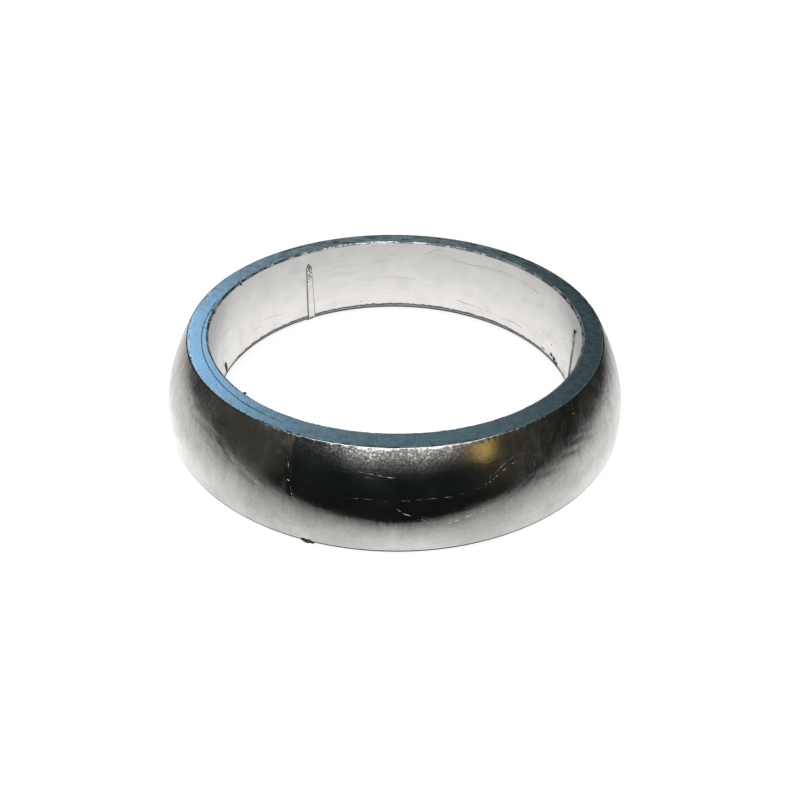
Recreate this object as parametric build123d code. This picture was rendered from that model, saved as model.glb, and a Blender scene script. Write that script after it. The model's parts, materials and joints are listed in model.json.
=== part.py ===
from build123d import *
import math
import os

# Pressed graphite sealing ring for an exhaust ball joint, in millimetres.
# +Z is up. The origin is the centre of the flat bottom face, on the ring's axis.

# Body of the ring
bore_diameter = 54.0       # the pipe passes through here
wall_thickness = 7.0       # from the bore to the plain band round the foot
top_land = 3.0             # width of the flat top, up to where the dome would meet it
ring_height = 13.4
band_height = 4.2          # from the bottom to where band and dome would meet
dome_radius = 29.7         # arc of the dome, seen in section
shoulder_blend = 15.0      # eases the band into the dome

# Edges
top_edge_radius = 0.45
foot_edge_radius = 0.6
bore_mouth_radius = 1.4    # rounded lower mouth of the bore

# Crush ribs down the bore
rib_count = 3
rib_width = 1.35           # where a rib leaves the bore wall
rib_height = 0.2           # how far a rib stands out of the wall
rib_reach = 10.9           # from the bottom up to a rib's round top end
rib_flank_lean = 30.0      # degrees away from upright
rib_root = 0.5             # how deep a rib is rooted in the wall
rib_first_angle = 3.5      # degrees from +X towards +Y

# Open seam in the flat top, where the pressed strip's end shows as a line
seam_width = 0.14
seam_depth = 0.2
seam_start_angle = 166.0
seam_end_angle = 244.0
seam_start_inset = 0.5     # from the bore's edge
seam_end_inset = 1.7

# Bites out of the bore's upper edge
nick_ball_diameter = 1.6
nick_depth = 0.3
nick_angles = (155.0, 175.0)

bore_radius = bore_diameter / 2
outer_radius = bore_radius + wall_thickness
top_radius = bore_radius + top_land


def corner(sketch, point):
    """The sketch's corner at a radius and height of the half section."""
    radius, height = point
    return sketch.vertices().sort_by_distance((radius, 0, height))[0]


def ring_section(inner_radius):
    """Half section of the ring, in the plane of radius and height."""
    inner_top = (inner_radius, ring_height)
    outer_top = (top_radius, ring_height)
    band_top = (outer_radius, band_height)
    outer_foot = (outer_radius, 0)
    inner_foot = (inner_radius, 0)
    with BuildSketch(Plane.XZ) as section:
        with BuildLine():
            Line(inner_top, outer_top)
            RadiusArc(outer_top, band_top, dome_radius)
            Polyline(band_top, outer_foot, inner_foot, inner_top)
        make_face()
        fillet(corner(section.sketch, band_top), shoulder_blend)
        fillet(corner(section.sketch, outer_top), top_edge_radius)
        fillet(corner(section.sketch, outer_foot), foot_edge_radius)
        fillet(corner(section.sketch, inner_foot), bore_mouth_radius)
    return section.sketch


def ring_body(inner_radius):
    """The whole ring, turned from its section."""
    return revolve(ring_section(inner_radius), Axis.Z)


def rib_bar(angle):
    """A bar with a round top end and leaning flanks, rooted in the bore wall."""
    lean_out = rib_root * math.tan(math.radians(rib_flank_lean))
    half_width = rib_width / 2 + lean_out
    shoulder = rib_reach + lean_out - half_width
    foot = -half_width
    root = Plane(origin=(bore_radius + rib_root, 0, 0), x_dir=(0, -1, 0), z_dir=(-1, 0, 0))
    with BuildSketch(root) as outline:
        with BuildLine():
            ThreePointArc(
                (-half_width, shoulder), (0, shoulder + half_width), (half_width, shoulder)
            )
            Polyline(
                (half_width, shoulder),
                (half_width, foot),
                (-half_width, foot),
                (-half_width, shoulder),
            )
        make_face()
    bar = extrude(outline.sketch, rib_root + rib_height, taper=rib_flank_lean)
    return bar.rotate(Axis.Z, angle)


def crush_ribs():
    """The ribs, cut to the ring's own height and to the rounding of its mouth."""
    lining = ring_body(bore_radius - rib_height)
    spacing = 360 / rib_count
    return [rib_bar(rib_first_angle + n * spacing) & lining for n in range(rib_count)]


def on_top(inset, angle):
    """A point on the flat top, inset from the bore's edge."""
    turn = math.radians(angle)
    radius = bore_radius + inset
    return (radius * math.cos(turn), radius * math.sin(turn), ring_height)


def top_seam():
    """The open seam, which drifts outward along the flat top."""
    line = ThreePointArc(
        on_top(seam_start_inset, seam_start_angle),
        on_top((seam_start_inset + seam_end_inset) / 2, (seam_start_angle + seam_end_angle) / 2),
        on_top(seam_end_inset, seam_end_angle),
    )
    return extrude(trace(line, seam_width), seam_depth, dir=(0, 0, -1))


def edge_nicks():
    """Balls that bite into the bore's upper edge, each centred in the air off that edge."""
    ball_radius = nick_ball_diameter / 2
    stand_off = (ball_radius - nick_depth) * math.sqrt(0.5)
    nicks = []
    for angle in nick_angles:
        x, y, z = on_top(-stand_off, angle)
        nicks.append(Pos(x, y, z + stand_off) * Sphere(ball_radius))
    return nicks


def seal_ring():
    """The ring in one piece, with its ribs and its flaws."""
    ring = ring_body(bore_radius)
    for rib in crush_ribs():
        ring = ring + rib
    for flaw in [top_seam(), *edge_nicks()]:
        ring = ring - flaw
    return ring


os.makedirs("parts", exist_ok=True)
export_step(seal_ring(), "parts/seal_ring.step")
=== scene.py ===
"""Looks of a pressed graphite exhaust ring: dense mesh, fine marks, finishes, light and camera."""

import json
import math

import bmesh
import bpy
import numpy as np
from mathutils import Matrix, Vector


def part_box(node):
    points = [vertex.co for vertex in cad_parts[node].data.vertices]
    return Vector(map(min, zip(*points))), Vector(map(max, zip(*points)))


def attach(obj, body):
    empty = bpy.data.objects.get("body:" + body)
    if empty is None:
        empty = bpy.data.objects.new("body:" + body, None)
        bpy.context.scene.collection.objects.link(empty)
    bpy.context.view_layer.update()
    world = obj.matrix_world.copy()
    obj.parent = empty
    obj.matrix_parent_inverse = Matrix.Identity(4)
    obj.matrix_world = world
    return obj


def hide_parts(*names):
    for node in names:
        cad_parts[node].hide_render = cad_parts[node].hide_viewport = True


MM = 0.001

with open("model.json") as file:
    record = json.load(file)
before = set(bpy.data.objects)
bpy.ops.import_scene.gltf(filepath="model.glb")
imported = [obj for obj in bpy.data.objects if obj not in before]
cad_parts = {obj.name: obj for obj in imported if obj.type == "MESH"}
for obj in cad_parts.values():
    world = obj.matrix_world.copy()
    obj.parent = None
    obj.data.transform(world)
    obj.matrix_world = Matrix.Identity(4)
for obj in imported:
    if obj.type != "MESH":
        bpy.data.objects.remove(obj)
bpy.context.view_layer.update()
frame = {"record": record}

# Sizes of the ring, in metres
_, ring_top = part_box("seal_ring")
mount_radius = {mount["name"]: mount["dims"].get("r_mm") for mount in frame["record"]["mounts"]}
OUTER_RADIUS = ring_top.x
HEIGHT = ring_top.z
BORE_RADIUS = mount_radius["pipe_bore"] * MM
TOP_LAND = 3.0 * MM  # width of the flat top, up to where the dome would meet it
TOP_RADIUS = BORE_RADIUS + TOP_LAND
BAND_HEIGHT = 4.2 * MM
DOME_RADIUS = 29.7 * MM
SHOULDER_BLEND = 15.0 * MM
TOP_EDGE = 0.25 * MM
FOOT_EDGE = 0.6 * MM
BORE_MOUTH = 1.4 * MM
BORE_RIM = 0.27 * MM
RIM_LINE_SHARE = 0.2  # how far down the bore's rim its ragged line ends
CLOSE_ROW = 0.06 * MM  # from an edge to the row that holds the flat beside it

# Crush ribs
RIB_COUNT = 3
RIB_FIRST_ANGLE = 3.5
RIB_WIDTH = 1.35 * MM
RIB_HEIGHT = 0.2 * MM
RIB_REACH = 10.9 * MM
RIB_FLANK = 0.115 * MM
RIB_ANGLES = [RIB_FIRST_ANGLE + n * 360 / RIB_COUNT for n in range(RIB_COUNT)]
RIB_SHOULDER = RIB_REACH - RIB_WIDTH / 2
RIB_NARROWING = 0.24  # share of its width that a rib loses towards its upper end
RIB_NARROWED = (2.0 * MM, 10.0 * MM)
CRUSHED_FROM = 7.8 * MM
CRUSH_EASE = 0.6 * MM
MOST_CRUSHED = 0.75  # share of a rib's height

# Open seam in the flat top
SEAM_ANGLES = (166.0, 244.0)
SEAM_TAPERS = (6, 8)  # degrees over which it opens at its start and closes at its end
SEAM_INSETS = (0.5 * MM, 1.7 * MM)
SEAM_DEPTH = 0.05 * MM
SEAM_HALF_WIDTH = 0.035 * MM

# Bites out of the bore's upper edge
NICK_BALL = 0.8 * MM  # radius of each ball that bites
NICK_DEPTH = 0.3 * MM
NICK_ANGLES = (155.0, 175.0)

# Camera, as the photograph was taken
PHOTO_SIZE = 800
SENSOR = 36.0
FOCAL_PIXELS = 826.0
CAMERA_ELEVATION = math.radians(35.04)
CAMERA_ROLL = math.radians(0.49)
CAMERA_DISTANCE = 128.9 * MM
SHIFT_PIXELS = (5.25, -5.68)
CLIP_START = 0.005


def smooth(low, high, value):
    """0 below low, 1 above high, eased between."""
    t = np.clip((value - low) / (high - low), 0, 1)
    return t * t * (3 - 2 * t)


def wrapped(angle):
    """An angle in degrees, brought to -180 to 180."""
    return (angle + 180) % 360 - 180


def around_at(angle, height, radius):
    """Positions of points given by angle in degrees, height and radius."""
    turn = np.radians(angle)
    return np.stack([radius * np.cos(turn), radius * np.sin(turn), height], -1)


class Waves:
    """Smooth, repeatable unevenness in space, from sines in fixed random directions."""

    def __init__(self, seed, lengths, count=14):
        rng = np.random.default_rng(seed)
        size = rng.uniform(*lengths, count) * MM
        way = rng.normal(size=(count, 3))
        way /= np.linalg.norm(way, axis=1)[:, None]
        self.k = way * (2 * math.pi / size)[:, None]
        self.phase = rng.uniform(0, 2 * math.pi, count)

    def __call__(self, points):
        """Height of the waves at points, which swings about 0, mostly by less than 1."""
        total = np.zeros(points.shape[:-1])
        for k, phase in zip(self.k, self.phase):
            total += np.sin(points @ k + phase)
        return total / math.sqrt(len(self.phase))


# Unevenness of the faces, from seeded waves with lengths in millimetres
DOME_UNEVEN = 0.01 * MM
BORE_UNEVEN = 0.008 * MM
TOP_UNEVEN = 0.006 * MM
DOME_WAVES = Waves(11, (7, 16))
BORE_WAVES = Waves(12, (6, 14))
TOP_WAVES = Waves(13, (2, 6))
DENT_WAVES = Waves(31, (0.7, 1.6))

# Ragged bites along the edges
FINE_BITES = (0.45, 0.9)
BROAD_BITES = (2.0, 5.0)
RIM_SEED = 21
RIM_BITES = 0.11 * MM
RIM_SHARES = (0.6, 1.0, 1.0, 0.8)  # of the bites, by row down the bore's rim
TOP_EDGE_SEED = 23
TOP_EDGE_BITES = 0.03 * MM
RIM_LINE_SEED = 25
RIM_LINE_BITES = 0.05 * MM


def ragged(place, seed, depth):
    """Small uneven bites up to about a depth, with lower burrs between them, in metres."""
    rough = Waves(seed, FINE_BITES)(place) + 0.6 * Waves(seed + 1, BROAD_BITES)(place)
    return depth * np.clip(0.15 + 0.5 * rough, -0.4, 1.3)


# Section of the ring, as stretches of (radius, height) with their outward directions

ROWS = {
    "foot": 3, "foot_edge": 6, "band": 4, "shoulder": 16, "dome": 24, "top_edge": 7, "top": 12,
    "rim_line": 1, "rim": 4, "rim_foot": 1, "bore_top": 5, "rib_top": 9, "bore": 11, "mouth": 9,
}
DOME_STRETCHES = ("band", "shoulder", "dome")
TOP_STRETCHES = ("top", "rim_line")
RIM_STRETCHES = ("rim_line", "rim")
BORE_STRETCHES = ("rim_foot", "bore_top", "rib_top", "bore", "mouth")


def arc_points(centre, radius, start, end, count):
    """Points from one angle towards the next, the last left to the next stretch."""
    angle = np.radians(np.linspace(start, end, count, endpoint=False))
    out = np.stack([np.cos(angle), np.sin(angle)], 1)
    return np.array(centre) + radius * out, out


def line_points(start, end, out, count):
    """Points along a line, the last left to the next stretch."""
    t = np.linspace(0, 1, count, endpoint=False)[:, None]
    points = np.array(start) + t * (np.array(end) - np.array(start))
    return points, np.tile(np.array(out, float), (count, 1))


def dome_centre():
    """Centre of the dome's arc, which runs from the band's top to the flat top's edge."""
    low = np.array([OUTER_RADIUS, BAND_HEIGHT])
    high = np.array([TOP_RADIUS, HEIGHT])
    chord = high - low
    half = np.linalg.norm(chord) / 2
    outward = np.array([chord[1], -chord[0]]) / (2 * half)
    return (low + high) / 2 - outward * math.sqrt(DOME_RADIUS**2 - half**2)


def ring_section():
    """Closed outline of the section, from the foot round the dome, the top and the bore."""
    centre = dome_centre()
    blend_x = OUTER_RADIUS - SHOULDER_BLEND
    reach = DOME_RADIUS - SHOULDER_BLEND
    blend_z = centre[1] + math.sqrt(reach**2 - (blend_x - centre[0]) ** 2)
    blend_end = math.degrees(math.atan2(blend_z - centre[1], blend_x - centre[0]))
    edge_z = HEIGHT - TOP_EDGE
    edge_x = centre[0] + math.sqrt((DOME_RADIUS - TOP_EDGE) ** 2 - (edge_z - centre[1]) ** 2)
    edge_start = math.degrees(math.atan2(edge_z - centre[1], edge_x - centre[0]))
    bore = BORE_RADIUS
    rim = (bore + BORE_RIM, HEIGHT - BORE_RIM)
    rim_start = (bore + (1 - RIM_LINE_SHARE) * BORE_RIM, HEIGHT - RIM_LINE_SHARE * BORE_RIM)
    below_rim = rim[1] - CLOSE_ROW
    rib_zone = RIB_REACH - RIB_WIDTH
    mouth = (bore + BORE_MOUTH, BORE_MOUTH)
    foot = (OUTER_RADIUS - FOOT_EDGE, FOOT_EDGE)
    stretches = {
        "foot": (line_points, (mouth[0], 0), (foot[0], 0), (0, -1)),
        "foot_edge": (arc_points, foot, FOOT_EDGE, -90, 0),
        "band": (line_points, (OUTER_RADIUS, FOOT_EDGE), (OUTER_RADIUS, blend_z), (1, 0)),
        "shoulder": (arc_points, (blend_x, blend_z), SHOULDER_BLEND, 0, blend_end),
        "dome": (arc_points, centre, DOME_RADIUS, blend_end, edge_start),
        "top_edge": (arc_points, (edge_x, edge_z), TOP_EDGE, edge_start, 90),
        "top": (line_points, (edge_x, HEIGHT), (rim[0], HEIGHT), (0, 1)),
        "rim_line": (line_points, (rim[0], HEIGHT), rim_start, (0, 1)),
        "rim": (line_points, rim_start, (bore, rim[1]), (-0.7, 0.7)),
        "rim_foot": (line_points, (bore, rim[1]), (bore, below_rim), (-1, 0)),
        "bore_top": (line_points, (bore, below_rim), (bore, RIB_REACH), (-1, 0)),
        "rib_top": (line_points, (bore, RIB_REACH), (bore, rib_zone), (-1, 0)),
        "bore": (line_points, (bore, rib_zone), (bore, BORE_MOUTH), (-1, 0)),
        "mouth": (arc_points, mouth, BORE_MOUTH, 180, 270),
    }
    return {name: make(*shape, ROWS[name]) for name, (make, *shape) in stretches.items()}


# Columns round the ring, close together at the front, the ribs and the places with detail

COLUMNS = 890
ANGLE_STEP = 0.02  # degrees from one place to the next where the density is worked out
FRONT_ANGLES = (195, 345)
FRONT_DENSITY = 0.8
DETAIL_ANGLES = (155.0, 175.0, 224.4, 247.5, 252.0, 15.0, 20.5)
DENSE_SETS = ((RIB_ANGLES, 9, 2.0), (DETAIL_ANGLES, 3, 1.5))  # angles, added density, reach in degrees

# Rows of the flat top by the seam, in half widths of it
SEAM_ROWS = np.array([1.3, 0.35, -0.35, -1.3])
SEAM_CLEAR = 2.6  # where the rows beside the seam's own lie
INNER_ROWS = 2
SEAM_FLOOR = slice(-5, -3)  # the two rows of the top that lie in the seam


def column_angles():
    """Angles of the mesh's columns, in degrees."""
    fine = np.arange(0, 360, ANGLE_STEP)
    density = np.full(fine.size, 1.0)
    density += FRONT_DENSITY * ((fine > FRONT_ANGLES[0]) & (fine < FRONT_ANGLES[1]))
    for angles, added, reach in DENSE_SETS:
        for angle in angles:
            density += added * (np.abs(wrapped(fine - angle)) < reach)
    total = np.cumsum(density)
    marks = (np.arange(COLUMNS) + 0.5) / COLUMNS * total[-1]
    return np.interp(marks, total, fine)


def seam_radius(angle):
    """Radius that the seam's line has at an angle; it holds its end values past its ends."""
    return BORE_RADIUS + np.interp(angle, SEAM_ANGLES, SEAM_INSETS)


def seam_strength(angle):
    """1 along the seam, tapering to 0 at its ends."""
    start, end = SEAM_ANGLES
    opening = smooth(start, start + SEAM_TAPERS[0], angle)
    closing = 1 - smooth(end - SEAM_TAPERS[1], end, angle)
    return opening * closing


def top_radii(angle, edge_x, rim_x):
    """Radii of the flat top's rows at one angle, with four rows set close about the seam."""
    line = seam_radius(angle)
    clear = SEAM_CLEAR * SEAM_HALF_WIDTH
    outer = np.linspace(edge_x, line + clear, ROWS["top"] - len(SEAM_ROWS) - INNER_ROWS)
    return np.concatenate([outer, line + SEAM_HALF_WIDTH * SEAM_ROWS, [line - clear, rim_x + CLOSE_ROW]])


def ring_grid():
    """Columns' angles, rows' stretches, vertices' radii and heights, and rows' directions outward."""
    section = ring_section()
    names = np.concatenate([[name] * len(points) for name, (points, _) in section.items()])
    outline = np.concatenate([points for points, _ in section.values()])
    outward = np.concatenate([out for _, out in section.values()])
    angles = column_angles()
    radius = np.tile(outline[:, 0], (angles.size, 1))
    height = np.tile(outline[:, 1], (angles.size, 1))
    edge_x = section["top"][0][0, 0]
    rim_place = around_at(angles, np.full_like(angles, HEIGHT), BORE_RADIUS)
    rim_x = section["rim_line"][0][0, 0] + ragged(rim_place, RIM_LINE_SEED, RIM_LINE_BITES)
    radius[:, names == "rim_line"] = rim_x[:, None]
    for column, angle in enumerate(angles):
        radius[column, names == "top"] = top_radii(angle, edge_x, rim_x[column])
    return angles, names, radius, height, outward


# Relief of the ring: ribs, seam, folds, ragged edges and unevenness

# Folds pressed into the dome, as (angle, height in millimetres) along each
FOLDS = {
    "long": [(304.4, 11.9), (300.3, 11.4), (294.9, 10.2), (289.5, 8.8), (285.5, 8.05), (281.8, 7.65),
             (269.7, 7.7), (258.0, 7.7)],
    "beside_long": [(301.6, 10.9), (296.4, 10.0), (291.6, 8.8), (287.0, 8.0)],
    "crossing": [(270.1, 6.9), (272.0, 6.15), (275.3, 5.4), (277.9, 4.2)],
    "branch": [(274.6, 5.7), (276.7, 5.4), (279.8, 4.9)],
    "dotted": [(280.6, 4.26), (285.5, 4.9), (291.3, 5.3)],
    "upper": [(304.8, 9.75), (300.4, 10.05), (297.7, 10.0), (294.0, 9.5)],
    "upper_end": [(303.1, 9.8), (301.9, 9.05)],
    "upright": [(245.7, 11.5), (247.3, 8.55), (248.5, 6.0)],
    "tick": [(244.4, 8.5), (246.7, 8.7)],
    "scratch": [(260.4, 10.85), (263.2, 10.75), (266.5, 10.55), (270.6, 10.2)],
    "scratch_below": [(262.8, 10.3), (266.0, 10.15), (269.8, 10.0)],
    "left": [(214.4, 9.4), (219.9, 9.6), (225.0, 9.6), (228.8, 8.9), (232.0, 7.85)],
    "left_high": [(207.9, 10.3), (211.7, 10.3), (215.9, 9.95)],
    "left_low": [(234.8, 7.2), (237.8, 6.8), (240.6, 6.25)],
    "left_tick": [(230.7, 8.55), (232.5, 7.55)],
}

# Short flecks, the same way, which join the folds as fleck_1 and so on
FLECKS = [
    [(242.8, 11.0), (244.0, 10.85)], [(246.1, 10.0), (246.7, 9.5)], [(244.3, 8.55), (246.0, 8.6)],
    [(246.3, 8.5), (247.5, 8.3)], [(247.7, 7.65), (248.1, 7.05)], [(317.0, 11.95), (317.8, 11.9)],
    [(314.7, 11.35), (315.5, 11.3)], [(310.9, 10.4), (311.8, 10.7)], [(302.9, 9.35), (304.0, 9.6)],
    [(301.8, 8.75), (302.4, 9.1)],
]
FOLDS.update({f"fleck_{number}": path for number, path in enumerate(FLECKS, 1)})

# Shallow creases beside them, which have no bright lip
CREASES = {
    "right_upper": [(314.0, 9.25), (318.2, 8.9), (322.5, 8.0)],
    "right_middle": [(310.7, 8.45), (313.0, 8.15), (315.8, 7.8)],
    "right_back": [(318.0, 9.65), (322.1, 9.2)],
    "right_low": [(302.5, 7.5), (307.0, 7.3), (311.5, 6.6)],
}

# Valleys that the larger folds and the creases press in, in millimetres
VALLEY_DEPTH = {
    "long": 0.012, "crossing": 0.01, "dotted": 0.01, "upper": 0.014, "upright": 0.008, "left": 0.012,
    "left_low": 0.012, "right_upper": 0.018, "right_middle": 0.018, "right_back": 0.015,
    "right_low": 0.015,
}
VALLEY_WIDTH = 0.32
VALLEY_PATHS = {**FOLDS, **CREASES}

# Hairline scores in the bore's wall
SCORES = {
    "high": [(69.5, 10.95), (62.8, 10.65), (55.5, 10.95), (46.5, 11.2), (37.6, 10.95), (29.6, 10.45)],
    "edge": [(40.7, 12.9), (33.7, 12.6), (26.0, 11.6)],
    "low": [(67.1, 3.35), (60.1, 2.95), (45.1, 2.65), (40.8, 2.85), (35.5, 2.3)],
    "back": [(86.0, 3.2), (80.5, 3.65), (76.0, 3.3)],
    "far_left": [(147.9, 4.4), (143.7, 4.2), (139.3, 3.9), (134.3, 3.15)],
    "rim": [(80.1, 11.2), (74.9, 12.4), (71.0, 12.3)],
    "tick": [(92.5, 10.8), (89.5, 10.85)],
    "short": [(31.6, 8.7), (27.2, 8.05)],
    "short_above": [(30.6, 9.45), (26.4, 8.85)],
}

# Width and rise of some folds and scores, as shares of the usual
LINE_SIZES = {
    "long": 0.62, "beside_long": 0.8, "dotted": 1.9, "scratch": 0.95, "scratch_below": 0.9,
    "crossing": 1.6, "upright": 1.3, "tick": 1.4, "left_tick": 1.3, "high": 1.4, "edge": 1.4, "low": 1.7,
    "rim": 1.3, "fleck_1": 1.5, "fleck_2": 1.5, "fleck_3": 1.5, "fleck_4": 1.5, "fleck_5": 1.5,
}


def fold_distance(angle, height, path):
    """Distance in millimetres from each grid point to a fold's line on the dome."""
    around = np.radians(angle) * OUTER_RADIUS / MM
    up = height / MM
    nearest = np.full(np.broadcast(around, up).shape, np.inf)
    corners = [(math.radians(turn) * OUTER_RADIUS / MM, z) for turn, z in path]
    for (ax, az), (bx, bz) in zip(corners, corners[1:]):
        dx, dz = bx - ax, bz - az
        t = np.clip(((around - ax) * dx + (up - az) * dz) / (dx * dx + dz * dz), 0, 1)
        nearest = np.minimum(nearest, np.hypot(around - ax - t * dx, up - az - t * dz))
    return nearest


def valleys(angle, height):
    """How far the larger folds and the creases press the dome in, in metres."""
    depth = 0
    for name, deepest in VALLEY_DEPTH.items():
        distance = fold_distance(angle, height, VALLEY_PATHS[name])
        depth = depth + deepest * MM * np.exp(-((distance / VALLEY_WIDTH) ** 2))
    return depth


def dome_sink(angle, height, radius):
    """How far the dome lies inside its true form, in metres."""
    place = around_at(angle, height, radius)
    return valleys(angle, height) + DOME_UNEVEN * (1 + 0.5 * DOME_WAVES(place))


def dome_at(angle, height):
    """Radius and outward direction of the dented band and dome at an angle and height."""
    section = ring_section()
    points = np.concatenate([section[name][0] for name in DOME_STRETCHES])
    outward = np.concatenate([section[name][1] for name in DOME_STRETCHES])
    radius = np.interp(height, points[:, 1], points[:, 0])
    out = np.stack([np.interp(height, points[:, 1], outward[:, axis]) for axis in (0, 1)], -1)
    return radius - dome_sink(angle, height, radius), out


def bore_at(angle, height):
    """Radius of the bore's wall, and the direction out of it."""
    return np.full_like(height, BORE_RADIUS), np.stack([-np.ones_like(height), 0 * height], -1)


def rib_rise(angle, height, place):
    """How far the ribs stand out of the bore, in metres, crushed at their upper ends."""
    slimness = 1 - RIB_NARROWING * smooth(*RIB_NARROWED, height)
    rise = 0
    for rib in RIB_ANGLES:
        across = np.radians(wrapped(angle - rib)) * BORE_RADIUS / slimness
        away = np.hypot(across, np.maximum(height - RIB_SHOULDER, 0))
        rise = rise + RIB_HEIGHT * np.clip((RIB_WIDTH / 2 - away) / RIB_FLANK, 0, 1)
    crush = smooth(CRUSHED_FROM, CRUSHED_FROM + CRUSH_EASE, height)
    dents = 0.5 + 0.35 * DENT_WAVES(place)
    return rise * (1 - crush * np.clip(dents, 0, MOST_CRUSHED))


def bitten(points):
    """Points inside the nicks' balls, pushed out to the balls' surfaces."""
    stand_off = (NICK_BALL - NICK_DEPTH) * math.sqrt(0.5)
    for degrees in NICK_ANGLES:
        turn = math.radians(degrees)
        radius = BORE_RADIUS - stand_off
        centre = np.array([radius * math.cos(turn), radius * math.sin(turn), HEIGHT + stand_off])
        away = points - centre
        distance = np.linalg.norm(away, axis=-1, keepdims=True)
        points = np.where(distance < NICK_BALL, centre + away / distance * NICK_BALL, points)
    return points


def raised(angles, names, radius, height, outward):
    """Positions of the whole grid with its relief."""
    angle = angles[:, None] + 0 * height
    place = around_at(angle, height, radius)
    on_dome = np.isin(names, DOME_STRETCHES)
    on_top = np.isin(names, TOP_STRETCHES)
    on_rim = names == "rim"
    in_bore = np.isin(names, BORE_STRETCHES)
    seam_rows = np.flatnonzero(names == "top")[SEAM_FLOOR]
    rise = np.zeros(radius.shape)
    rise -= np.where(on_dome, dome_sink(angle, height, radius), 0)
    rise -= np.where(names == "top_edge", ragged(place, TOP_EDGE_SEED, TOP_EDGE_BITES), 0)
    rise -= np.where(on_top, TOP_UNEVEN * (1 + 0.5 * TOP_WAVES(place)), 0)
    rise += np.where(in_bore, BORE_UNEVEN * BORE_WAVES(place), 0)
    rise[:, on_rim] -= ragged(place[:, on_rim], RIM_SEED, RIM_BITES) * RIM_SHARES
    rise[:, seam_rows] -= SEAM_DEPTH * seam_strength(angles)[:, None]
    ribbed = in_bore.copy()
    ribbed[0] = True  # the mouth's last point is the foot's first
    radius = radius + rise * outward[:, 0] - np.where(ribbed, rib_rise(angle, height, place), 0)
    height = np.clip(height + rise * outward[:, 1], 0, HEIGHT)
    return bitten(around_at(angle, height, radius))


def scene_object(name, data):
    """A new object in the scene."""
    made = bpy.data.objects.new(name, data)
    bpy.context.scene.collection.objects.link(made)
    return made


def mesh_object(name, points, faces, kinds=None):
    """A smooth-shaded object from points and faces, each face with its material's number."""
    mesh = bpy.data.meshes.new(name)
    mesh.from_pydata(points.reshape(-1, 3).tolist(), [], faces)
    if kinds is not None:
        mesh.polygons.foreach_set("material_index", np.asarray(kinds, dtype=np.int32))
    mesh.polygons.foreach_set("use_smooth", np.ones(len(faces), bool))
    mesh.validate()
    mesh.update()
    return scene_object(name, mesh)


def ring_object():
    """The whole ring as one closed mesh, with faces of kind 0 outside, 1 on top and 2 in the bore."""
    angles, names, radius, height, outward = ring_grid()
    points = raised(angles, names, radius, height, outward)
    columns, rows = points.shape[:2]
    column, row = np.meshgrid(np.arange(columns), np.arange(rows), indexing="ij")
    after = (column + 1) % columns
    above = (row + 1) % rows
    corners = [column * rows + row, after * rows + row, after * rows + above, column * rows + above]
    faces = np.stack(corners, -1).reshape(-1, 4)
    kind = np.zeros(rows, int)
    kind[names == "top"] = 1
    kind[np.isin(names, RIM_STRETCHES + BORE_STRETCHES)] = 2
    return mesh_object("pressed_ring", points, faces.tolist(), np.tile(kind, columns))


# Fine lips along the folds and scores, and crumbs at the edges

LIP_STEP = 0.12 * MM
LIP_SUNK = 0.03 * MM
LIP_TAPER = 0.6 * MM
LIP_WANDER = 0.07 * MM
FOLD_LIP = {"width": 0.11 * MM, "rise": 0.025 * MM, "broken": 1.0, "seed": 60}
SCORE_LIP = {"width": 0.085 * MM, "rise": 0.02 * MM, "broken": 0.45, "seed": 160}
SEED_STEP = 7  # from one lip's seed to the next


def lip_stations(path, broken, seed):
    """Even steps along a path on the ring, each with its angle, height and share of the lip."""
    corner_angle = np.radians([angle for angle, _ in path])
    corner_height = np.array([height for _, height in path]) * MM
    steps = np.hypot(np.diff(corner_angle) * BORE_RADIUS, np.diff(corner_height))
    along = np.concatenate([[0], np.cumsum(steps)])
    length = along[-1]
    at = np.linspace(0, length, max(4, int(length / LIP_STEP)))
    spots = np.stack([at, 0 * at, 0 * at], -1)
    angle = np.degrees(np.interp(at, along, corner_angle))
    height = np.interp(at, along, corner_height) + LIP_WANDER * Waves(seed, (1.0, 5.0))(spots)
    taper = np.minimum(1, np.minimum(at, length - at) / min(LIP_TAPER, length / 3))
    uneven = 0.4 * Waves(seed + 1, (0.3, 1.4))(spots) + 0.35 * Waves(seed + 2, (3.0, 9.0))(spots)
    share = taper * np.clip(1 - 0.55 * broken + broken * uneven, 0.1, 1.3)
    return angle, height, share


def lip_faces(count):
    """Faces of a lip with four corners at each of its stations, closed at both ends."""
    faces = [(0, 1, 2, 3)]
    last = 4 * (count - 1)
    for base in range(0, last, 4):
        for edge in range(4):
            after = (edge + 1) % 4
            faces.append((base + after, base + edge, base + 4 + edge, base + 4 + after))
    faces.append((last + 3, last + 2, last + 1, last))
    return faces


def lip(path, surface, width, rise, broken, seed):
    """Points and faces of one thin lip that lies along a path on a surface of the ring."""
    angle, height, share = lip_stations(path, broken, seed)
    radius, out = surface(angle, height)
    centre = around_at(angle, height, radius)
    normal = around_at(angle, 0 * angle, 1) * out[:, :1]
    normal[:, 2] = out[:, 1]
    side = np.cross(normal, np.gradient(centre, axis=0))
    side /= np.linalg.norm(side, axis=1)[:, None]
    half = (width / 2 * (0.5 + 0.5 * share))[:, None]
    crest = (rise * (1.3 * share - 0.3))[:, None]
    corners = [
        centre - side * half - normal * LIP_SUNK,
        centre + normal * crest,
        centre + side * half - normal * LIP_SUNK,
        centre - normal * 2 * LIP_SUNK,
    ]
    return np.stack(corners, 1).reshape(-1, 3), lip_faces(len(centre))


def joined(parts):
    """Points and faces of several closed pieces as one."""
    points, faces, base = [], [], 0
    for part_points, part_faces in parts:
        points.append(part_points)
        faces.extend(tuple(base + corner for corner in face) for face in part_faces)
        base += len(part_points)
    return np.concatenate(points), faces


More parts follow.
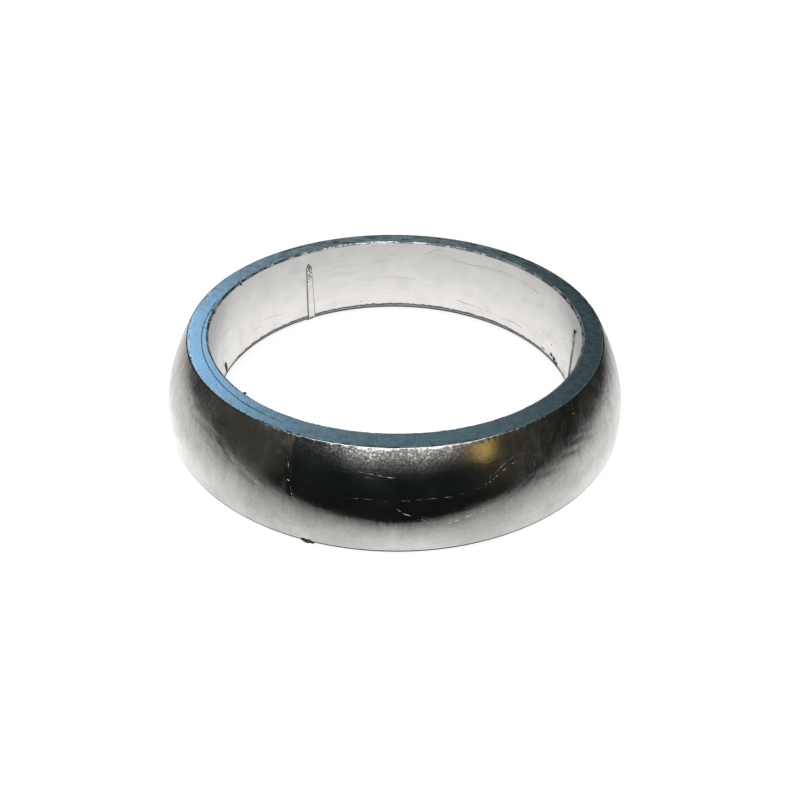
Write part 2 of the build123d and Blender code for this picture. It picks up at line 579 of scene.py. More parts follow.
def lips_object(name, paths, surface, width, rise, broken, seed):
    """All the lips along a set of paths, each in its own size, broken up by a share."""
    parts = []
    for number, (title, path) in enumerate(paths.items()):
        size = LINE_SIZES.get(title, 1.0)
        parts.append(lip(path, surface, width * size, rise * size, broken, seed + SEED_STEP * number))
    return mesh_object(name, *joined(parts))


# Crumbs of graphite on the edges: angle, radius and height of each, then its half lengths
# round the ring, outward and upward, in millimetres
CRUMBS = [
    ((251.3, 33.85, 0.4), (0.78, 0.3, 0.36)),
    ((252.5, 33.9, 0.3), (0.4, 0.2, 0.24)),
    ((171.6, 27.0, 2.2), (0.3, 0.16, 0.8)),
    ((224.4, 26.95, 13.15), (0.12, 0.34, 0.2)),
    ((19.2, 27.02, 1.95), (0.62, 0.08, 0.3)),
    ((17.0, 27.02, 1.8), (0.5, 0.08, 0.36)),
    ((15.0, 27.03, 1.55), (0.6, 0.08, 0.24)),
    ((24.6, 27.03, 1.7), (0.6, 0.07, 0.14)),
    ((103.2, 27.02, 2.05), (0.26, 0.04, 0.09)),
    ((19.8, 27.02, 3.75), (0.12, 0.05, 0.12)),
    ((11.4, 27.02, 7.2), (0.12, 0.05, 0.14)),
    ((2.95, 26.86, 10.75), (0.2, 0.12, 0.24)),
]
CRUMB_SEED = 50
CRUMB_LUMPS = 0.22  # share of a crumb's size by which it is lumpy
CRUMB_WAVES = (0.9, 2.2)  # lengths of the lumps on a ball with a radius of 1


def ball():
    """Points and faces of a small round ball of radius 1."""
    mesh = bpy.data.meshes.new("ball")
    build = bmesh.new()
    bmesh.ops.create_icosphere(build, subdivisions=3, radius=1.0)
    build.to_mesh(mesh)
    build.free()
    points = np.array([vertex.co[:] for vertex in mesh.vertices])
    faces = [tuple(face.vertices) for face in mesh.polygons]
    bpy.data.meshes.remove(mesh)
    return points, faces


def crumbs_object():
    """All the crumbs, each a lumpy ball flattened to its own size."""
    parts = []
    points, faces = ball()
    for number, ((degrees, radius, height), (around, outward, upward)) in enumerate(CRUMBS):
        lumps = 1 + CRUMB_LUMPS * Waves(CRUMB_SEED + number, CRUMB_WAVES)(points * MM)
        size = points * lumps[:, None] * np.array([outward, around, upward])
        turn = math.radians(degrees)
        cos, sin = math.cos(turn), math.sin(turn)
        spin = np.array([[cos, -sin, 0], [sin, cos, 0], [0, 0, 1]])
        placed = (size + np.array([radius, 0, height])) @ spin.T * MM
        placed[:, 2] = np.clip(placed[:, 2], 0, HEIGHT)
        parts.append((placed, faces))
    return mesh_object("edge_crumbs", *joined(parts))


# Shader nodes

class Nodes:
    """Short ways to add and join shader nodes."""

    def __init__(self, tree):
        self.tree = tree
        tree.nodes.clear()

    def put(self, value, socket):
        """Set an input to a value, or join it to another node's output."""
        if isinstance(value, bpy.types.NodeSocket):
            self.tree.links.new(value, socket)
        else:
            socket.default_value = value

    def add(self, kind, values=None, **settings):
        """A node with its settings, its inputs set to values or joined to other nodes' outputs."""
        node = self.tree.nodes.new(kind)
        for name, value in settings.items():
            setattr(node, name, value)
        for name, value in (values or {}).items():
            self.put(value, node.inputs[name])
        return node

    def math(self, operation, *values):
        """One sum with numbers."""
        return self.add("ShaderNodeMath", dict(enumerate(values)), operation=operation).outputs[0]

    def chain(self, operation, values):
        """One number from several, taken one after the other."""
        result = values[0]
        for value in values[1:]:
            result = self.math(operation, result, value)
        return result

    def product(self, *values):
        return self.chain("MULTIPLY", values)

    def total(self, *values):
        return self.chain("ADD", values)

    def largest(self, *values):
        return self.chain("MAXIMUM", values)

    def rest(self, value):
        """What a value leaves of 1."""
        return self.math("SUBTRACT", 1.0, value)

    def distance(self, value, place):
        """How far a value is from a place, either way."""
        return self.math("ABSOLUTE", self.math("SUBTRACT", value, place))

    def vector(self, operation, *values, output="Vector"):
        """A vector worked out from vectors, or a number where the output is Value."""
        values = dict(enumerate(values))
        return self.add("ShaderNodeVectorMath", values, operation=operation).outputs[output]

    def combined(self, *parts):
        """A vector from its x, y and z, of which those left out are 0."""
        return self.add("ShaderNodeCombineXYZ", dict(enumerate(parts))).outputs[0]

    def separated(self, vector):
        """A vector's x, y and z."""
        return self.add("ShaderNodeSeparateXYZ", {0: vector}).outputs

    def ramp(self, value, low, high, start=0.0, end=1.0, kind="SMOOTHSTEP"):
        """An eased change from start to end as a value goes from low to high, either way round."""
        limits = {"Value": value, "From Min": low, "From Max": high, "To Min": start, "To Max": end}
        return self.add("ShaderNodeMapRange", limits, interpolation_type=kind).outputs[0]

    def fade(self, value, full, none):
        """An even change from 1 to 0 as a value goes from full to none."""
        return self.ramp(value, full, none, 1.0, 0.0, "LINEAR")

    def line(self, value, place, half, strength=1.0):
        """Full where a value is at a place, fading to nothing past twice the half width."""
        return self.ramp(self.distance(value, place), half, 2 * half, strength, 0.0)

    def noise(self, place, scale, detail=2.0, roughness=0.5, distortion=0.0):
        """A noise about 0.5 at a place, finer with a larger scale."""
        values = {
            "Vector": place, "Scale": scale, "Detail": detail,
            "Roughness": roughness, "Distortion": distortion,
        }
        return self.add("ShaderNodeTexNoise", values).outputs[0]

    def blend(self, factor, first, second):
        """A mix of two colours by a factor."""
        node = self.add("ShaderNodeMix", data_type="RGBA")
        self.put(factor, node.inputs[0])
        self.put(first, node.inputs[6])
        self.put(second, node.inputs[7])
        return node.outputs[2]

    def finish(self, shader, output="ShaderNodeOutputMaterial"):
        """Join a shader to the tree's output."""
        final = self.add(output)
        self.tree.links.new(shader.outputs[0], final.inputs[0])


def rgb(red, green, blue):
    """A colour as shader nodes take it."""
    return (red, green, blue, 1.0)


def new_material(name):
    """A new material, and its nodes."""
    material = bpy.data.materials.new(name)
    material.use_nodes = True
    return material, Nodes(material.node_tree)


def object_place(n):
    """Place on an object, in millimetres."""
    texture = n.add("ShaderNodeTexCoord").outputs["Object"]
    return n.add("ShaderNodeMapping", {"Vector": texture, "Scale": (1 / MM, 1 / MM, 1 / MM)}).outputs[0]


class RingPlace:
    """Coordinates on the ring for its finishes, in millimetres."""

    def __init__(self, n):
        self.point = object_place(n)
        self.x, self.y, self.z = n.separated(self.point)
        self.turn = n.math("ARCTAN2", self.y, self.x)
        flat = n.combined(self.x, self.y)
        self.radius = n.vector("LENGTH", flat, output="Value")
        self.outward = n.vector("NORMALIZE", flat)

    def unrolled(self, n, reach, upward, across=None):
        """Place round a circle of radius reach, with heights or another measure stretched."""
        x, y, _ = n.separated(self.outward)
        return n.combined(n.product(x, reach), n.product(y, reach), n.product(across or self.z, upward))

    def slanted(self, n, along, length, width):
        """Place for lines that run along a direction, mirrored left and right."""
        mirrored = n.combined(n.math("ABSOLUTE", self.x), self.y, self.z)
        first = Vector(along).normalized()
        second = first.orthogonal().normalized()
        axes = (first / length, second / width, first.cross(second) / width)
        return n.combined(*[n.vector("DOT_PRODUCT", mirrored, axis, output="Value") for axis in axes])


def tipped(n, normal, amount, axis):
    """A normal tipped along an axis: 2 is up on a wall, and 1 is to the back on the top."""
    tip = n.add("ShaderNodeCombineXYZ", {axis: amount}).outputs[0]
    return n.vector("NORMALIZE", n.vector("ADD", normal, tip))


def about_middle(n, noise, amount):
    """A noise brought to swing either side of nothing."""
    return n.product(n.math("SUBTRACT", noise, 0.5), amount)


# Finishes of graphite

BLACKENED = rgb(0.03, 0.03, 0.033)
# Painted shade: the scores' dark greys stand in for the shade inside the real scores' grooves.
SCORE_SHADE_GREYS = (rgb(0.06, 0.06, 0.06), rgb(0.3, 0.29, 0.28))
CRUMB_GREYS = (rgb(0.02, 0.018, 0.018), rgb(0.10, 0.095, 0.09))
LIP_GREYS = (rgb(0.14, 0.14, 0.14), rgb(0.92, 0.92, 0.90))

# Heights of bumps, in metres
DOME_RELIEF = 0.02 * MM
TOP_RELIEF = 0.04 * MM
BORE_RELIEF = 0.015 * MM

# Grain of the fine pieces, and where in it their two greys mix
LIP_GRAIN = {"scale": 4.0, "detail": 3.0, "mix": (0.42, 0.58), "rough": (0.25, 0.5), "depth": BORE_RELIEF}
LOOSE_GRAIN = {"scale": 3.5, "detail": 4.0, "mix": (0.35, 0.7), "rough": (0.3, 0.6), "depth": TOP_RELIEF}

# Round the dome, in radians: where its polish and its sparkling begin and end
POLISH_FROM = np.radians(wrapped(np.array((246.1, 247.3))))
POLISH_UNTIL = np.radians(wrapped(np.array((301.6, 287.2))))
SPARKS_FROM = np.radians(wrapped(np.array((234, 252))))
SPARKS_UNTIL = np.radians(wrapped(np.array((296, 281))))
EDGE_SHADE_FROM = np.radians((4, 19))  # off the front, where the painted shade on the top's edge turns dark

# Wrinkles at the dome's sides: their way, their size in millimetres and how far they tip it
WRINKLE_RUN = (0.71, 0.6, 0.37)
WRINKLE_LENGTH = 7.0
WRINKLE_WIDTH = 0.55
WRINKLE_TIP = 0.17

# Lines of painted shade, in millimetres: the heights of three, and half the width of the one round a rib
FOOT_SHADOW_LINE = (0.46, 0.62)
EDGE_SHADE_LINE = (13.2, 13.32)
MOUTH_SHADOW_LINE = 1.2
RIB_SHADE_HALF = 0.068


def graphite(n, colour, rough, relief, depth, grime_and_shade=None, tip=None, tip_axis=2):
    """Metallic graphite, dull and black where it is grimy and where shade is painted."""
    normal = n.add("ShaderNodeBump", {"Strength": 1.0, "Distance": depth, "Height": relief}).outputs[0]
    if tip is not None:
        normal = tipped(n, normal, tip, tip_axis)
    values = {"Metallic": 1.0, "Roughness": rough, "Normal": normal, "Specular IOR Level": 0.1}
    if grime_and_shade is not None:
        values["Metallic"] = n.rest(grime_and_shade)
        colour = n.blend(grime_and_shade, colour, BLACKENED)
    values["Base Color"] = colour
    n.finish(n.add("ShaderNodeBsdfPrincipled", values))


def dome_marks(n, at):
    """The noises that the dome's finish is made of."""
    slanted = at.slanted(n, WRINKLE_RUN, WRINKLE_LENGTH, WRINKLE_WIDTH)
    return {
        "strokes": n.noise(at.unrolled(n, 34.0, 0.1), 3.4, detail=3.0, roughness=0.6),
        "laps": n.noise(at.unrolled(n, 5.0, 2.2), 1.0, detail=4.0, roughness=0.6),
        "grain": n.noise(at.unrolled(n, 26.0, 1.0), 2.2, detail=4.0, roughness=0.65),
        "clouds": n.noise(at.point, 0.22, detail=3.0),
        "crumple": n.noise(at.unrolled(n, 34.0, 0.7), 0.55, detail=5.0, roughness=0.62, distortion=1.0),
        "wrinkles": n.noise(slanted, 1.0, detail=3.0, roughness=0.6),
        "sparks": n.noise(at.unrolled(n, 20.0, 1.0), 5.0, detail=4.0, roughness=0.7),
    }


def worn_share(n, at):
    """0 on the polished stretch at the front of the dome, and 1 away from it."""
    return n.rest(n.product(n.ramp(at.turn, *POLISH_FROM), n.ramp(at.turn, *POLISH_UNTIL)))


def sparkling_share(n, at):
    """How strongly the grain sparkles, on the upper dome at the front."""
    return n.product(
        n.ramp(at.z, 9.8, 12.9, 0.0, 0.42),
        n.ramp(at.turn, *SPARKS_FROM),
        n.ramp(at.turn, *SPARKS_UNTIL),
    )


def dome_tip(n, at, marks, worn, sparkling):
    """How far the dome's normal tips up: strokes, sparks, crumple, and wrinkles off the front."""
    strokes = about_middle(n, marks["strokes"], n.ramp(at.z, 8.0, 10.0, 0.07, 0.02))
    sparks = about_middle(n, marks["sparks"], sparkling)
    crumple = about_middle(n, marks["crumple"], n.ramp(worn, 0.0, 1.0, 0.04, 0.055))
    wrinkles = about_middle(n, marks["wrinkles"], WRINKLE_TIP)
    patches = n.product(n.ramp(at.z, 3.0, 5.0), n.ramp(n.noise(at.point, 0.25), 0.42, 0.58))
    lower = n.ramp(at.z, 10.0, 12.6, 1.0, 0.4)
    wrinkles = n.product(wrinkles, worn, patches, lower)
    return n.total(strokes, sparks, n.product(crumple, lower), wrinkles)


def dome_edge_shade(n, at, marks):
    """Painted shade: the dark line along the top's outer edge, broken by sparks at the front."""
    off_front = n.math("ABSOLUTE", n.total(at.turn, math.pi / 2))
    height = n.total(at.z, about_middle(n, marks["grain"], 0.3))
    sparks = n.ramp(marks["sparks"], 0.46, 0.58, 0.95, 0.45)
    return n.product(n.ramp(height, *EDGE_SHADE_LINE), n.largest(n.ramp(off_front, *EDGE_SHADE_FROM), sparks))


def dome_finish():
    """Polished foil with strokes and sparkling grain, duller and crumpled off the front."""
    material, n = new_material("dome_graphite")
    at = RingPlace(n)
    marks = dome_marks(n, at)
    grain, clouds, crumple = marks["grain"], marks["clouds"], marks["crumple"]
    worn = worn_share(n, at)
    sparkling = sparkling_share(n, at)
    colour = n.blend(n.ramp(clouds, 0.3, 0.7), rgb(0.50, 0.494, 0.474), rgb(0.60, 0.592, 0.57))
    colour = n.blend(n.ramp(crumple, 0.5, 0.72, 0.0, 0.22), colour, rgb(0.34, 0.33, 0.30))
    colour = n.blend(n.ramp(grain, 0.4, 0.62, 0.12, 0.0), colour, rgb(0.22, 0.22, 0.20))
    # Painted shade: a dark line along the top's outer edge, lighter at the front where the lamp glints.
    colour = n.blend(dome_edge_shade(n, at, marks), colour, rgb(0.3, 0.3, 0.29))
    worn_rough = n.product(worn, n.ramp(crumple, 0.4, 0.6, 0.03, 0.13))
    rough = n.total(n.ramp(clouds, 0.35, 0.7, 0.10, 0.15), worn_rough, n.product(sparkling, 0.2))
    relief = n.total(n.product(marks["laps"], 0.35), n.product(grain, 0.3))
    # Painted shadow: a dark line along the foot, where the ring meets the sheet.
    foot = n.ramp(at.z, *FOOT_SHADOW_LINE, 1.0, 0.0)
    tip = dome_tip(n, at, marks, worn, sparkling)
    graphite(n, colour, rough, relief, DOME_RELIEF, grime_and_shade=foot, tip=tip)
    return material


def top_finish():
    """Blue-grey cut face, mottled and grainy, blackened at its edges; its blue is partly its own tinge
    and partly a painted reflection of the blue window.
    """
    material, n = new_material("top_graphite")
    at = RingPlace(n)
    mottle = n.noise(at.point, 0.9, detail=5.0, roughness=0.65)
    grain = n.noise(at.point, 3.0, detail=3.0, roughness=0.6)
    laps = n.noise(at.unrolled(n, 12.0, 1.2, at.radius), 1.2, detail=4.0, roughness=0.65)
    # Partly painted reflection: the blue tint stands in for the blue window that the top mirrors.
    colour = n.blend(n.ramp(mottle, 0.35, 0.68), rgb(0.29, 0.38, 0.42), rgb(0.41, 0.51, 0.56))
    colour = n.blend(n.ramp(grain, 0.6, 0.75, 0.0, 0.5), colour, rgb(0.16, 0.19, 0.22))
    radius = n.total(at.radius, about_middle(n, grain, 0.2))
    inner = n.ramp(radius, BORE_RADIUS / MM + 0.22, BORE_RADIUS / MM + 0.38, 0.35, 0.0)
    outer = n.ramp(radius, TOP_RADIUS / MM - 0.24, TOP_RADIUS / MM - 0.1, 0.0, 0.3)
    relief = n.total(n.product(mottle, 0.4), n.product(grain, 0.2))
    rough = n.ramp(mottle, 0.3, 0.7, 0.22, 0.32)
    lap_tip = n.ramp(at.y, 12.0, 26.0, 0.08, 0.45)
    tip = n.total(about_middle(n, grain, 0.025), about_middle(n, laps, lap_tip))
    graphite(n, colour, rough, relief, TOP_RELIEF, grime_and_shade=n.largest(inner, outer), tip=tip, tip_axis=1)
    return material


def rib_shade_lines(n, at):
    """Distance from a rib's middle line, and the black outline round each rib, which is painted shade of
    its flanks.
    """
    spacing = math.radians(360 / RIB_COUNT)
    from_first = n.math("SUBTRACT", at.turn, math.radians(RIB_FIRST_ANGLE))
    off = n.math("WRAP", from_first, spacing / 2, -spacing / 2)
    slimness = n.ramp(at.z, RIB_NARROWED[0] / MM, RIB_NARROWED[1] / MM, 1.0, 1.0 - RIB_NARROWING)
    across = n.math("DIVIDE", n.product(off, BORE_RADIUS / MM), slimness)
    above = n.largest(n.math("SUBTRACT", at.z, RIB_SHOULDER / MM), 0.0)
    away = n.math("SQRT", n.total(n.product(across, across), n.product(above, above)))
    return away, n.line(away, RIB_WIDTH / 2 / MM - 0.02, RIB_SHADE_HALF)


def bore_colour(n, at, clouds, edge):
    """Pale grey with painted shade darker higher up, with stains, wisps and a painted shadow under the
    mouth's line.
    """
    # Painted shade: the wall darkens higher up, standing in for its dimmer reflection there.
    colour = n.blend(n.ramp(at.z, 2.0, 13.0), rgb(0.77, 0.75, 0.725), rgb(0.57, 0.56, 0.545))
    colour = n.blend(n.ramp(clouds, 0.5, 0.78, 0.0, 0.3), colour, rgb(0.52, 0.51, 0.50))
    wisps = n.noise(at.unrolled(n, 3.5, 0.8), 1.1, detail=5.0, roughness=0.7, distortion=0.7)
    colour = n.blend(n.ramp(wisps, 0.52, 0.7, 0.0, 0.3), colour, rgb(0.42, 0.41, 0.40))
    # Painted shadow: a lilac-grey band under the mouth's line.
    return n.blend(n.ramp(edge, -0.15, 0.0, 0.45, 0.0), colour, rgb(0.40, 0.38, 0.42))


def bore_grime_and_shade(n, at, grain, edge, on_rib, outline):
    """Black: painted shade round the ribs, along the mouth and at the rim off the back, and grime on the
    ribs' crushed ends.
    """
    lumps = n.ramp(n.noise(at.point, 1.5, detail=3.0), 0.36, 0.5)
    crushed = n.product(on_rib, n.ramp(at.z, 7.6, 9.8), lumps)
    # Painted shadow along the mouth's line, where the wall meets the sheet.
    mouth_shadow = n.product(n.line(edge, 0.0, 0.11, 0.9), n.rest(on_rib))
    # Painted shade on the rim, left off at the back where the lamp glints.
    off_back = n.ramp(n.distance(at.turn, math.pi / 2), 0.25, 0.4)
    rim = n.product(n.ramp(at.z, 13.1, 13.25), n.ramp(grain, 0.45, 0.6, 0.0, 0.6), off_back)
    return n.largest(n.product(outline, 0.75), n.product(crushed, 0.75), mouth_shadow, rim)


def bore_finish():
    """Pale burnished graphite with black lines of painted shade, grime, painted glints on the ribs, and
    dark chips at the rim.
    """
    material, n = new_material("bore_graphite")
    at = RingPlace(n)
    brushed = n.noise(at.unrolled(n, 27.0, 0.12), 1.4, detail=4.0, roughness=0.6)
    clouds = n.noise(at.point, 0.35, detail=4.0, roughness=0.6)
    grain = n.noise(at.point, 3.0, detail=2.0)
    wander = about_middle(n, n.noise(at.point, 0.9, detail=4.0, roughness=0.7), 0.7)
    # The mouth's line, along which shadow is painted.
    edge = n.math("SUBTRACT", at.z, n.total(wander, MOUTH_SHADOW_LINE))
    away, outline = rib_shade_lines(n, at)
    on_rib = n.ramp(away, 0.5, 0.62, 1.0, 0.0)
    # Painted glints: white specks on the ribs' middle stretch.
    painted_glints = n.product(on_rib, n.ramp(at.z, 6.6, 7.6), n.ramp(n.noise(at.point, 2.3), 0.56, 0.63))
    colour = n.blend(painted_glints, bore_colour(n, at, clouds, edge), rgb(1.0, 1.0, 1.0))
    chips = n.ramp(n.noise(at.unrolled(n, 9.0, 1.0), 1.3, detail=4.0, roughness=0.7), 0.46, 0.54)
    chipped = n.product(chips, n.ramp(at.z, 13.08, 13.16), 0.85)
    colour = n.blend(chipped, colour, rgb(0.07, 0.085, 0.09))
    # Painted shade and grime darken the wall, but not on the painted glints.
    grime_and_shade = n.product(bore_grime_and_shade(n, at, grain, edge, on_rib, outline), n.rest(painted_glints))
    rib_relief = n.product(on_rib, n.ramp(at.z, 6.0, 8.0), grain, 3.0)
    relief = n.total(n.product(brushed, 0.2), n.product(grain, 0.1), rib_relief)
    rough = n.largest(n.ramp(clouds, 0.3, 0.7, 0.26, 0.34), n.ramp(at.z, 13.0, 13.2, 0.0, 0.45))
    tip = about_middle(n, grain, n.ramp(at.z, 12.9, 13.2, 0.0, 0.5))
    graphite(n, colour, rough, relief, BORE_RELIEF, grime_and_shade=grime_and_shade, tip=tip)
    return material


def grainy_finish(name, greys, scale, detail, mix, rough, depth):
    """Bare or crumbly graphite between two greys."""
    material, n = new_material(name)
    grain = n.noise(object_place(n), scale, detail=detail, roughness=0.7)
    colour = n.blend(n.ramp(grain, *mix), *greys)
    graphite(n, colour, n.ramp(grain, 0.3, 0.7, *rough), grain, depth)
    return material


# Stage, with places on the sheet in millimetres

FLOOR_SIZE = 4.0
FLOOR_DROP = 0.02 * MM
FRONT_EDGE = -42.0  # the lit part of the sheet fades round this distance in front
FRONT_FADE = (5.0, 0.4)  # how far that fade spreads, and how much more at each side
FRONT_RANGE = (-1.3, 0.8)
LEFT_FADE = (38.0, 150.0)
RIGHT_FADE = (38.0, 102.0)
LEFT_LEAN = 0.6  # how much nearer a side's fade comes for each step to the back
RIGHT_LEAN = 0.9
BACK_FADE = (60.0, 130.0)
SHEET_LEVEL = 1.11
CLOSE_BOOST = 0.15
CLOSE_REACH = 9  # how far from the ring the boost ends
SIDE_BOOST = (0.12, -0.2)
SIDE_RANGE = (25.0, 35.0)
UNDER_LEVEL = 0.12  # of the sheet under the ring, a painted shadow where the metal mirrors it
INSIDE_LEVEL = 0.885  # of the sheet inside the bore, dimmed there as painted shade
FAR_LEFT = (-0.7, -0.88)  # where the room turns lighter at the left, from -1 to 1 across it
FAR_RIGHT = (0.45, 0.8)
FAR_LEFT_LEVELS = (0.012, 0.065)
FAR_RIGHT_LEVELS = (0.012, 0.03)
PAPER_WHITE = rgb(0.85, 0.85, 0.85)
PAPER_SHARE = 0.1

WINDOW_LIGHT = rgb(1.72, 2.7, 3.85)
LAMP_LIGHT = rgb(4.0, 4.0, 4.0)
WARM_LIGHT = rgb(0.74, 0.54, 0.175)
WARM_AZIMUTH = 312.8
WARM_ELEVATION = math.radians(18.6)
WARM_REACH = math.radians(9.5)
SOFTBOX_SIZE = 0.5
SOFTBOX_ENERGY = 4.0
SOFTBOX_PLACE = (-0.05, 0.12, 0.6)


def direction_side(n, flat):
    """How far to the right a level direction points, from -1 to 1."""
    return n.separated(n.vector("NORMALIZE", flat))["X"]


def lit_share(n, x, y):
    """1 on the lit part of the sheet, fading to 0 on all four sides."""
    spread = n.math("MULTIPLY_ADD", n.math("ABSOLUTE", x), FRONT_FADE[1], FRONT_FADE[0])
    past_front = n.math("DIVIDE", n.math("SUBTRACT", FRONT_EDGE, y), spread)
    backward = n.largest(y, 0.0)
    leftward = n.math("SUBTRACT", 0.0, x)
    return n.product(
        n.fade(past_front, *FRONT_RANGE),
        n.fade(n.math("MULTIPLY_ADD", backward, LEFT_LEAN, leftward), *LEFT_FADE),
        n.fade(n.math("MULTIPLY_ADD", backward, RIGHT_LEAN, x), *RIGHT_FADE),
        n.fade(y, *BACK_FADE),
    )


def near_level(n, x, radius):
    """Brightness of the lit part, a little more close to the ring, though not at its right."""
    close = n.ramp(radius, OUTER_RADIUS / MM, OUTER_RADIUS / MM + CLOSE_REACH, 1.0, 0.0)
    inner, outer = SIDE_RANGE
    left = n.ramp(x, -inner, -outer, 0.0, SIDE_BOOST[0])
    right = n.ramp(x, inner, outer, 0.0, SIDE_BOOST[1])
    return n.math("MULTIPLY_ADD", close, n.total(left, right, CLOSE_BOOST), SHEET_LEVEL)


def sheet_level(n, place):
    """Brightness of the sheet where the metal mirrors it: full near the ring, dark far from it."""
    x, y, _ = n.separated(place)
    flat = n.combined(x, y)
    radius = n.vector("LENGTH", flat, output="Value")
    side = direction_side(n, flat)
    lit = n.product(lit_share(n, x, y), near_level(n, x, radius))
    far_left = n.ramp(side, *FAR_LEFT, *FAR_LEFT_LEVELS)
    far_right = n.ramp(side, *FAR_RIGHT, *FAR_RIGHT_LEVELS)
    level = n.largest(lit, n.largest(far_left, far_right))
    # Painted shadow: where the metal mirrors it, the sheet is dimmed inside the bore and under and close
    # round the ring.
    inside = n.ramp(radius, BORE_RADIUS / MM - 1.5, BORE_RADIUS / MM + 0.5, INSIDE_LEVEL, UNDER_LEVEL)
    outside = n.ramp(radius, OUTER_RADIUS / MM - 0.6, OUTER_RADIUS / MM + 0.1, UNDER_LEVEL, 1.0)
    return n.product(level, n.largest(inside, outside))


def white_sheet():
    """A sheet, white to the camera, with the ring's shadow; in the metal it is dark far off."""
    bpy.ops.mesh.primitive_plane_add(size=FLOOR_SIZE, location=(0, 0, -FLOOR_DROP))
    sheet = bpy.context.object
    sheet.name = "sheet"
    material, n = new_material("sheet_white")
    rays = n.add("ShaderNodeLightPath").outputs
    level = n.largest(rays["Is Camera Ray"], sheet_level(n, object_place(n)))
    shown = n.largest(rays["Is Camera Ray"], rays["Is Glossy Ray"], rays["Is Transmission Ray"])
    white = n.add("ShaderNodeEmission", {"Color": rgb(1, 1, 1), "Strength": level})
    paper = n.add("ShaderNodeBsdfDiffuse", {"Color": PAPER_WHITE})
    share = n.total(n.rest(shown), n.product(rays["Is Camera Ray"], PAPER_SHARE))
    n.finish(n.add("ShaderNodeMixShader", {0: share, 1: white.outputs[0], 2: paper.outputs[0]}))
    sheet.data.materials.append(material)


def low_room(n, side):
    """The room below the lamps, lighter at the left and the right than in the middle."""
    low = n.blend(n.ramp(side, *FAR_LEFT), rgb(0.010, 0.015, 0.015), rgb(0.068, 0.070, 0.056))
    low = n.blend(n.ramp(side, *FAR_RIGHT), low, rgb(0.046, 0.044, 0.034))
    return n.blend(n.ramp(side, 0.92, 0.98), low, rgb(0.018, 0.018, 0.014))


def back_wall(n, side, up):
    """The back of the room: a blue window at the left, a pale stretch, and then shade."""
    lean_window = n.math("MULTIPLY_ADD", up, -0.25, side)
    lean_pale = n.math("MULTIPLY_ADD", up, -0.45, side)
    pale = n.blend(n.ramp(up, 0.46, 0.58), rgb(0.60, 0.64, 0.58), rgb(0.43, 0.575, 0.65))
    back = n.blend(n.ramp(lean_pale, -0.01, -0.12), rgb(0.09, 0.11, 0.11), pale)
    return n.blend(n.ramp(lean_window, -0.335, -0.44), back, WINDOW_LIGHT)


def studio_world():
    """A dim room with a soft lamp over the camera, a blue window and a small warm lamp."""
    world = bpy.data.worlds.new("studio")
    bpy.context.scene.world = world
    world.use_nodes = True
    n = Nodes(world.node_tree)
    way = n.add("ShaderNodeTexCoord").outputs["Generated"]
    x, y, up = n.separated(way)
    side = direction_side(n, n.combined(x, y))
    off_middle = n.math("ABSOLUTE", x)
    in_front = n.ramp(y, 0.2, -0.1)
    room = n.blend(n.ramp(up, 0.3, 0.75), low_room(n, side), rgb(0.07, 0.08, 0.08))
    behind = n.product(n.ramp(y, 0.1, 0.4), n.ramp(side, -0.62, -0.42))
    height = n.product(n.ramp(up, 0.36, 0.45), n.ramp(up, 0.78, 0.46))
    room = n.blend(n.product(behind, height), room, back_wall(n, side, up))
    strip = n.product(n.ramp(off_middle, 0.25, 0.5, 1.0, 0.0), in_front)
    room = n.blend(n.product(strip, n.ramp(up, 0.2, 0.45)), room, rgb(0.28, 0.28, 0.27))
    wide = n.product(n.ramp(off_middle, 0.3, 0.75, 1.0, 0.0), in_front)
    drooping = n.math("MULTIPLY_ADD", off_middle, -0.05, up)
    lamp = n.product(wide, n.ramp(drooping, 0.425, 0.585), n.ramp(up, 0.93, 0.85))
    room = n.blend(lamp, room, LAMP_LIGHT)
    to_warm = around_at(WARM_AZIMUTH, math.sin(WARM_ELEVATION), math.cos(WARM_ELEVATION))
    near_warm = n.vector("DOT_PRODUCT", way, to_warm, output="Value")
    warm = n.ramp(near_warm, math.cos(WARM_REACH), 1.0)
    room = n.blend(n.product(warm, warm), room, WARM_LIGHT)
    sky = n.add("ShaderNodeBackground", {"Color": room, "Strength": 1.0})
    n.finish(sky, "ShaderNodeOutputWorld")


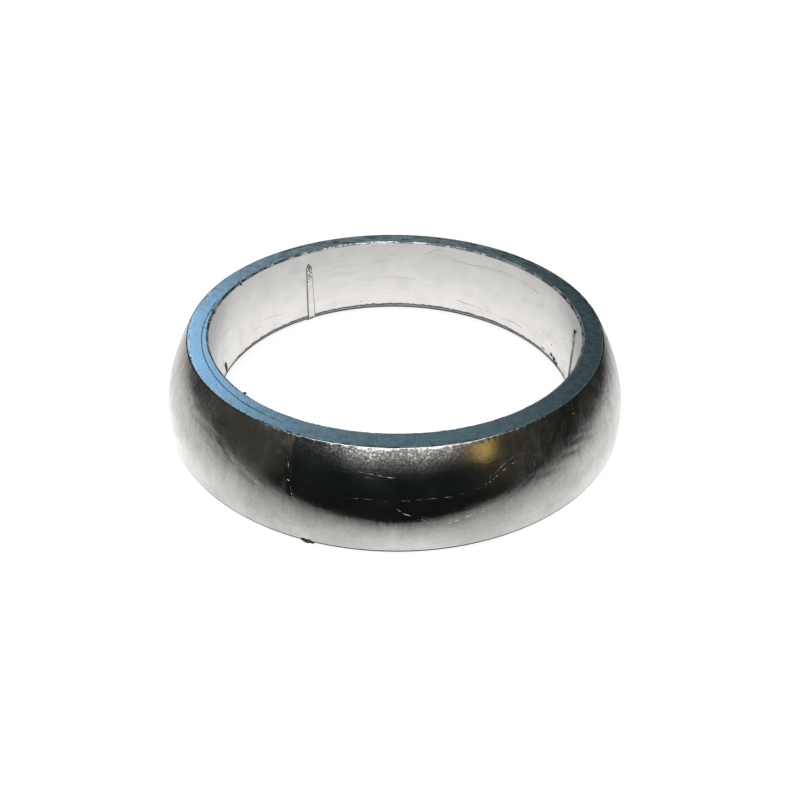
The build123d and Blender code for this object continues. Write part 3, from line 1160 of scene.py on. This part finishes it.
def softbox():
    """One wide lamp overhead, for the sheet and the shadow under the ring."""
    data = bpy.data.lights.new("softbox", "AREA")
    data.shape = "SQUARE"
    data.size = SOFTBOX_SIZE
    data.energy = SOFTBOX_ENERGY
    lamp = scene_object("softbox", data)
    lamp.location = SOFTBOX_PLACE
    lamp.rotation_euler = (-lamp.location).to_track_quat("-Z", "Y").to_euler()
    lamp.visible_glossy = False


def camera():
    """The photograph's camera, aimed at the centre of the foot."""
    back = Vector((0, -math.cos(CAMERA_ELEVATION), math.sin(CAMERA_ELEVATION)))
    level = Vector((1, 0, 0))
    upright = back.cross(level)
    right = math.cos(CAMERA_ROLL) * level + math.sin(CAMERA_ROLL) * upright
    up = math.cos(CAMERA_ROLL) * upright - math.sin(CAMERA_ROLL) * level
    data = bpy.data.cameras.new("photo_camera")
    data.sensor_width = SENSOR
    data.lens = FOCAL_PIXELS / PHOTO_SIZE * SENSOR
    data.shift_x = SHIFT_PIXELS[0] / PHOTO_SIZE
    data.shift_y = SHIFT_PIXELS[1] / PHOTO_SIZE
    data.clip_start = CLIP_START
    eye = scene_object("photo_camera", data)
    turned = Matrix((right, up, back)).transposed().to_4x4()
    eye.matrix_world = Matrix.Translation(back * CAMERA_DISTANCE) @ turned
    bpy.context.scene.camera = eye


camera()

ring = ring_object()
for finish in (dome_finish(), top_finish(), bore_finish()):
    ring.data.materials.append(finish)
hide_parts("seal_ring")

folds = lips_object("fold_lips", FOLDS, dome_at, **FOLD_LIP)
folds.data.materials.append(grainy_finish("folded_graphite", LIP_GREYS, **LIP_GRAIN))
scores = lips_object("bore_scores", SCORES, bore_at, **SCORE_LIP)
scores.data.materials.append(grainy_finish("score_graphite", SCORE_SHADE_GREYS, **LOOSE_GRAIN))
crumbs = crumbs_object()
crumbs.data.materials.append(grainy_finish("loose_graphite", CRUMB_GREYS, **LOOSE_GRAIN))

for piece in (ring, folds, scores, crumbs):
    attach(piece, "root")

white_sheet()
studio_world()
softbox()
bpy.context.scene.view_settings.view_transform = "Standard"
